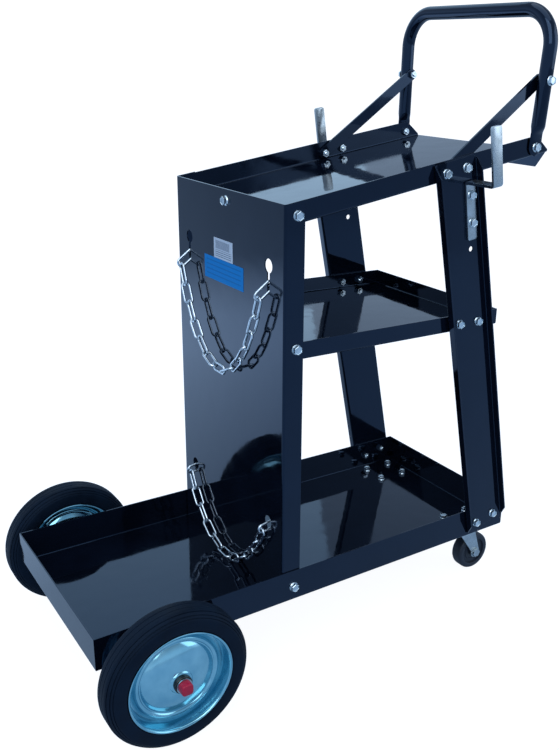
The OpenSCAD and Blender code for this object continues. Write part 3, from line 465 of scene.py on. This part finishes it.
for name in ("panel_nuts", "post_nuts", "hook_nuts", "handle_nuts", "caster_nuts"):
    parts = []
    for low, high in solids_of(name):
        size = high - low
        axis = min(range(3), key=lambda k: size[k])
        sign = -1 if axis == 2 or (axis == 1 and low.y > 0) else 1
        parts.append(hexagon(across_flats, size[axis], -size[axis] / 2))
        parts[-1].matrix_world = cart @ Matrix.Translation((low + high) / 2) @ towards(axis, sign)
    finished(join(parts), name.replace("_nuts", "_hex_nuts"), bright_zinc, "frame", "zinc", name)

# ---------------------------------------------------------------------------
# Lead hooks
# 16 x 4 mm zinc-plated flat bar, bent outwards and then up, with its corners
# clipped round, held on each post's web by two of the M6 bolts.
# ---------------------------------------------------------------------------
# Blue passivated zinc: a silver plate with a cold blue cast, the same grain and
# duller patches where it has been handled.
patches = (14, 4.0, 0.6)
zinc = new_finish("blue_passivated_zinc", (patches, "#9ca5a9", "#c2cacf", 0.3, 0.7),
                  (patches, 0.34, 0.2, 0.3, 0.7), [(grain, 0.012)], {"Metallic": 1.0})

post_foot = Vector((359, 141.8, 23.5)) * mm
post_splay, post_lean = math.radians(0.374), math.radians(-11.5)


def on_post(side):
    """The post's own frame: x across its web, y outwards, z up from its foot bolts."""
    leaning = (Matrix.Translation(post_foot) @ Matrix.Rotation(post_splay, 4, "X")
               @ Matrix.Rotation(post_lean, 4, "Y"))
    return cart @ (leaning if side > 0 else Matrix.Scale(-1, 4, (0, 1, 0)) @ leaning)


bar_w, bar_t, bar_bend, edge_r = 16 * mm, 4 * mm, 5.5 * mm, 0.5 * mm
end_w, clip_w = 10 * mm, 14.3 * mm      # the clipped ends widen to the bar in two steps
end_rise, clip_rise = 0.9 * mm, 2.1 * mm
strip_foot, arm_top, reach, tip = -59 * mm, 19 * mm, 54 * mm, 90 * mm
hook_place, hook_lean = Vector((17.5, 2.1, 497.5)) * mm, math.radians(2.8)
for side, label in ((-1, "near"), (1, "far")):
    start_piece()
    bpy.ops.mesh.primitive_plane_add(size=1, location=(0, bar_t / 2, strip_foot))
    bpy.context.object.scale = (end_w, bar_t, 1)
    hook = settled()
    edit_all()
    for climb, widen in ((end_rise, clip_w / end_w), (clip_rise, bar_w / clip_w)):
        extrude(0, 0, climb)
        bpy.ops.transform.resize(value=(widen, 1, 1))
    extrude(0, 0, arm_top - bar_bend - strip_foot - end_rise - clip_rise)
    bpy.ops.mesh.spin(steps=8, angle=math.pi / 2, center=(0, bar_bend, arm_top - bar_bend), axis=(1, 0, 0))
    extrude(0, reach - 2 * bar_bend, 0)
    bpy.ops.mesh.spin(steps=8, angle=-math.pi / 2, axis=(1, 0, 0),
                      center=(0, reach - bar_bend, arm_top - bar_t + bar_bend))
    extrude(0, 0, tip - end_rise - clip_rise - (arm_top - bar_t + bar_bend))
    for climb, narrow in ((clip_rise, clip_w / bar_w), (end_rise, end_w / clip_w)):
        extrude(0, 0, climb)
        bpy.ops.transform.resize(value=(narrow, 1, 1))
    tidy_mesh()
    edges = hook.modifiers.new("rounded_edges", "BEVEL")
    edges.width, edges.segments = edge_r, 2
    edges.limit_method, edges.angle_limit = "ANGLE", math.radians(50)
    bpy.ops.object.modifier_apply(modifier=edges.name)
    if side < 0:
        hook.data.flip_normals()        # the mirrored place turns its faces outwards again
    hook.matrix_world = on_post(side) @ Matrix.Translation(hook_place) @ Matrix.Rotation(hook_lean, 4, "Y")
    finished(hook, label + "_lead_hook", zinc, "frame", "zinc", label + "_hook")

# ---------------------------------------------------------------------------
# Rear axle
# A 12 mm plated bar under the bottom tray, held by two folded brackets. Tube
# spacers and stamped washers keep the wheels in place.
# ---------------------------------------------------------------------------
cover(zinc, "rear_axle", "axle_spacers", "axle_washers")

# ---------------------------------------------------------------------------
# Rear wheels
# A solid rubber ring is clenched between two pressed steel discs that turn on a
# black bush. A red cap is driven onto the axle's end over a washer.
# ---------------------------------------------------------------------------
# Solid rubber: blue-black and matt, with a bloom of paler dust and a fine
# moulded skin of about 1 mm.
bloom, skin = (30, 4.0, 0.5), (1.1, 2.0, 0.5)
tyre_rubber = new_finish("carbon_black_rubber", (bloom, "#070e19", "#0d1928", 0.3, 0.75),
                         (bloom, 0.55, 0.7, 0.3, 0.7), [(skin, 0.03)], {
                             "Specular IOR Level": 0.22, "Specular Tint": linear("#9ab8e0")})

# Pressed rim: bright zinc with a blue passivation that runs in soft clouds, and
# faint drawing marks over the shallow waves of the press.
hues, press_waves, marks = (40, 3.0, 0.55), (26, 1.0, 0.5), (0.8, 2.0, 0.5)
rim_zinc = new_finish("pressed_rim_zinc", (hues, "#76b0c4", "#a0d2de", 0.3, 0.7),
                      (hues, 0.08, 0.2, 0.3, 0.7), [(press_waves, 0.12), (marks, 0.004)], {"Metallic": 1.0})

# Bush: black nylon, slightly glossy from turning.
nylon = new_finish("black_nylon", ((6, 3.0, 0.5), "#07080a", "#0e0f12", 0, 1),
                   ((3, 2.0, 0.5), 0.3, 0.42, 0, 1), [((0.7, 1.0, 0.5), 0.008)])

# Axle cap: crimson moulded plastic with a faint mould texture.
crimson = new_finish("crimson_plastic", ((5, 3.0, 0.5), "#9c0d30", "#b3123a", 0, 1),
                     ((4, 2.0, 0.5), 0.34, 0.46, 0, 1), [((0.6, 2.0, 0.5), 0.012)])


def turned(outline, steps=128):
    """Turns a closed outline of (radius, height) points, in millimetres, about Z."""
    start_piece()
    bpy.ops.mesh.primitive_plane_add(size=1 * mm)
    piece = settled()
    edit_all()
    bpy.ops.mesh.merge(type="CENTER")
    bpy.ops.transform.translate(value=(outline[0][0] * mm, 0, outline[0][1] * mm))
    for here, there in zip(outline, outline[1:] + outline[:1]):
        extrude((there[0] - here[0]) * mm, 0, (there[1] - here[1]) * mm)
    bpy.ops.mesh.select_all(action="SELECT")
    bpy.ops.mesh.spin(steps=steps, angle=2 * math.pi, center=(0, 0, 0), axis=(0, 0, 1))
    tidy_mesh()
    return piece


def both_ways(half):
    """A closed outline from its outer half, mirrored to the inner side."""
    return half + [(r, -h) for r, h in reversed(half)]


# bead, side wall, a shoulder with three moulded grooves, and a tread with two fine ones
tyre_half = [(63.5, 18.2), (65.4, 18.2), (66.2, 19.5), (67.4, 20), (72, 19.8), (79.4, 19.9), (80.6, 19.4),
             (81.4, 18.8), (80.8, 18.2), (81.4, 17.6), (82.2, 18.1), (84.0, 16.6), (83.5, 15.8), (84.1, 15.2),
             (84.9, 15.7), (86.6, 14.2), (87.3, 13.1), (86.6, 12.6), (87.0, 11.8), (87.9, 12.0), (88.6, 10.6),
             (89, 9), (89, 4.6), (88.4, 4.3), (88.4, 3.7), (89, 3.4)]
# bush collar, shallow dish, raised ring, groove and rolled lip, then the back of the sheet
rim_outline = [(9.1, 19), (12, 19), (13.2, 18.4), (14.2, 17.2), (20, 16.2), (26, 14.8), (33, 12.8),
               (40, 10.2), (43.6, 8.2), (45.8, 6.4), (47, 6.5), (48, 7.6), (49.2, 8.2), (51, 8.2),
               (52.2, 7.4), (53.4, 4.4), (54.6, 2.3), (56, 1.6), (58.8, 1.6), (59.9, 3.4), (61.3, 15.5),
               (61.8, 18.4), (62.6, 19.8), (63.8, 20.4), (64.7, 20), (65, 18.9), (63.3, 18.9), (63, 17),
               (61, 0.1), (53, 0.1), (51, 6.5), (49, 6.5), (46.5, 4), (40, 8.6), (26, 13.2), (14, 15.5),
               (10.5, 15.5), (10.5, 3), (9.1, 3)]
# bore, sleeve, and the collar that stands out of the outer disc
bush_outline = [(6.1, -22), (8.6, -22), (9, -21.6), (9, 19.1), (10.7, 19.1), (11, 19.4), (11, 23.3),
                (10.4, 24), (6.1, 24)]
# two tabs in the groove and two dimples on the ring, where the discs are clinched together:
# (angle, radius, height, half length outwards, half width) of each
clinches = ((100, 57.4, 1.3, 1.8, 1.05), (105, 57.4, 1.3, 1.8, 1.05), (-52, 50, 7.9, 1.6, 2.0),
            (-128, 50, 7.9, 1.6, 2.0))
cap_w, cap_tall, cap_middle = 14 * mm, 9 * mm, 30.4 * mm
cap_corner, cap_edge = 4 * mm, 1.3 * mm
wheel_x, wheel_y, wheel_z = -170, 181.7, -10
for side, label in ((-1, "near"), (1, "far")):
    place = placed(wheel_x, side * wheel_y, wheel_z) @ Matrix.Rotation(-side * math.pi / 2, 4, "X")
    body = label + "_wheel"
    tyre = turned(both_ways(tyre_half))
    tyre.matrix_world = place
    finished(tyre, label + "_solid_tyre", tyre_rubber, body, "rubber", label + "_tyre")
    for half, flip in (("outer", 1), ("inner", -1)):
        parts = [turned([(r, flip * h) for r, h in rim_outline])]
        for angle, radius, stands, long, wide in clinches:
            start_piece()
            bpy.ops.mesh.primitive_uv_sphere_add(segments=16, ring_count=8, radius=1 * mm)
            mark = settled()
            mark.scale = (long, wide, 1)
            around = math.radians(angle)
            mark.location = Vector((radius * math.cos(around), radius * math.sin(around), flip * stands)) * mm
            mark.rotation_euler.z = around
            parts.append(mark)
        rim = join(parts)
        rim.matrix_world = place @ rim.matrix_world
        finished(rim, label + "_pressed_rim_" + half, rim_zinc, body, "zinc", label + "_rim_" + half)
    bush = turned(bush_outline, steps=64)
    bush.matrix_world = place
    finished(bush, label + "_bush", nylon, body, "bush_plastic", label + "_hub")
    start_piece()
    bpy.ops.mesh.primitive_cube_add(size=1, location=(0, 0, cap_middle))
    bpy.context.object.scale = (cap_w, cap_w, cap_tall)
    cap = settled()
    # its four upright edges are rounded, and then its outer face
    bpy.ops.object.mode_set(mode="EDIT")
    shape = bmesh.from_edit_mesh(cap.data)
    bpy.ops.mesh.select_mode(type="EDGE")
    bpy.ops.mesh.select_all(action="DESELECT")
    for edge in shape.edges:
        edge.select_set(abs(edge.verts[0].co.z - edge.verts[1].co.z) > 1 * mm)
    bmesh.update_edit_mesh(cap.data)
    bpy.ops.mesh.bevel(offset=cap_corner, segments=5, affect="EDGES")
    pick("FACE", lambda co, f: f.normal.z > 0.9)
    bpy.ops.mesh.bevel(offset=cap_edge, segments=3, affect="EDGES")
    bpy.ops.object.mode_set(mode="OBJECT")
    cap.matrix_world = place
    finished(cap, label + "_crimson_cap", crimson, "frame", "red_cap", label + "_axle_cap", smooth=40)

# ---------------------------------------------------------------------------
# Swivel casters
# A plated top plate and a pressed fork turn on a ring of balls about a riveted
# pin. The wheel is one moulding of hard black rubber on an 8 mm axle bolt.
# ---------------------------------------------------------------------------
# Hard rubber: blue-black like the tyres but smoother, with rings of wear.
wear = (12, 4.0, 0.5)
hard_rubber = new_finish("hard_black_rubber", (wear, "#0c111b", "#182031", 0.3, 0.75),
                         (wear, 0.42, 0.58, 0.3, 0.7), [((0.9, 2.0, 0.5), 0.02)])
caster_half = [(4.1, 10.8), (7, 10.8), (7.4, 7.2), (13, 7), (13.4, 7.8), (15.2, 7.8), (15.6, 7), (20.6, 7),
               (21.4, 9.6), (22, 10), (26.6, 10), (28.4, 9.2), (29.6, 7.4), (30, 5.4)]
roller_x, roller_y, roller_z = 377, 101, -57.555
for side, label in ((-1, "near"), (1, "far")):
    wheel = turned(both_ways(caster_half), steps=72)
    wheel.matrix_world = (placed(roller_x, side * roller_y, roller_z)
                          @ Matrix.Rotation(-side * math.pi / 2, 4, "X"))
    finished(wheel, label + "_caster_roller", hard_rubber, label + "_roller", "wheel_plastic",
             label + "_caster_wheel")
    cover(zinc, *(label + "_caster_" + part for part in ("plate", "pin", "balls", "fork", "axle")))

# ---------------------------------------------------------------------------
# Cylinder chains
# Welded links of 3.2 mm wire, bright zinc plated. At each end one link goes
# through a keyhole and another behind the panel keeps it from coming out.
# ---------------------------------------------------------------------------
# Plated wire: glossier than the bolts, with duller spots, and die lines drawn
# coarser than they are.
spots = (7, 3.0, 0.6)
bright_wire = new_finish("bright_plated_wire", (spots, "#b4c0ca", "#e2eaf0", 0.3, 0.7),
                         (spots, 0.24, 0.12, 0.3, 0.7), [((0.8, 2.0, 0.5), 0.01)], {"Metallic": 1.0})
cover(bright_wire, "upper_chain", "lower_chain", "upper_chain_ends", "lower_chain_ends")

# ---------------------------------------------------------------------------
# Labels
# Two self-adhesive films on the panel: a small white one with grey bars over thin
# rules, and a wider blue one with darker rules under it. Neither has any words.
# ---------------------------------------------------------------------------


def on_cart(tree, x, y, z):
    """Coordinates in millimetres along, across and up the cart from a place on it."""
    made = add_node(tree, "Mapping", {"vector_type": "TEXTURE"}, {
        "Location": placed(x, y, z).translation, "Rotation": (0, slope, 0), "Scale": (mm, mm, mm)}, {
        "Vector": add_node(tree, "TexCoord").outputs["Object"]})
    return add_node(tree, "SeparateXYZ", links={"Vector": made.outputs["Vector"]})


def within(tree, value, low, high):
    """1 where a value lies between two others."""
    above = add_node(tree, "Math", {"operation": "GREATER_THAN"}, {1: low}, {0: value})
    below = add_node(tree, "Math", {"operation": "LESS_THAN"}, {1: high}, {0: value})
    return add_node(tree, "Math", {"operation": "MULTIPLY"},
                    links={0: above.outputs[0], 1: below.outputs[0]}).outputs[0]


def rules(tree, spot, axis, pitch, width, across, up):
    """1 on rules that repeat along an axis at a pitch, inside a box given as two ranges in millimetres."""
    rest = add_node(tree, "Math", {"operation": "FLOORED_MODULO"}, {1: pitch}, {0: spot.outputs[axis]})
    mask = add_node(tree, "Math", {"operation": "LESS_THAN"}, {1: width}, {0: rest.outputs[0]}).outputs[0]
    for side, (low, high) in (("Z", up), ("Y", across)):
        mask = add_node(tree, "Math", {"operation": "MULTIPLY"}, links={
            0: mask, 1: within(tree, spot.outputs[side], low, high)}).outputs[0]
    return mask


# White film: cool white, printed with thin grey rules under a row of grey bars.
smears, ripple = (6, 2.0, 0.5), (9, 1.0, 0.5)
white_film = new_finish("white_film", (smears, "#b3c0d2", "#4a566e", 0, 1), (smears, 0.32, 0.45, 0, 1),
                        [(ripple, 0.02)])
tree = white_film.node_tree
sticker_foot = (0, 8, 426.3)
spot = on_cart(tree, *sticker_foot)
lines = rules(tree, spot, "Z", 2.6, 0.9, (-21, 21), (2, 11))
bars = rules(tree, spot, "Y", 2.3, 1.3, (-17, 20), (12.5, 23))
ink = add_node(tree, "Math", {"operation": "MAXIMUM"}, links={0: lines, 1: bars}).outputs[0]
tree.links.new(ink, tree.nodes["tones"].inputs["Fac"])
cover(white_film, "white_sticker")

# Blue film: saturated blue with slightly darker rules along it.
blue_film = new_finish("blue_film", (smears, "#0078c4", "#0067aa", 0, 1), (smears, 0.42, 0.55, 0, 1),
                       [(ripple, 0.02)], {"Specular IOR Level": 0.1})
tree = blue_film.node_tree
label_foot = (0, 8, 396)
lines = rules(tree, on_cart(tree, *label_foot), "Z", 6, 1.6, (-46, 46), (3, 27))
tree.links.new(lines, tree.nodes["tones"].inputs["Fac"])
cover(blue_film, "blue_label")
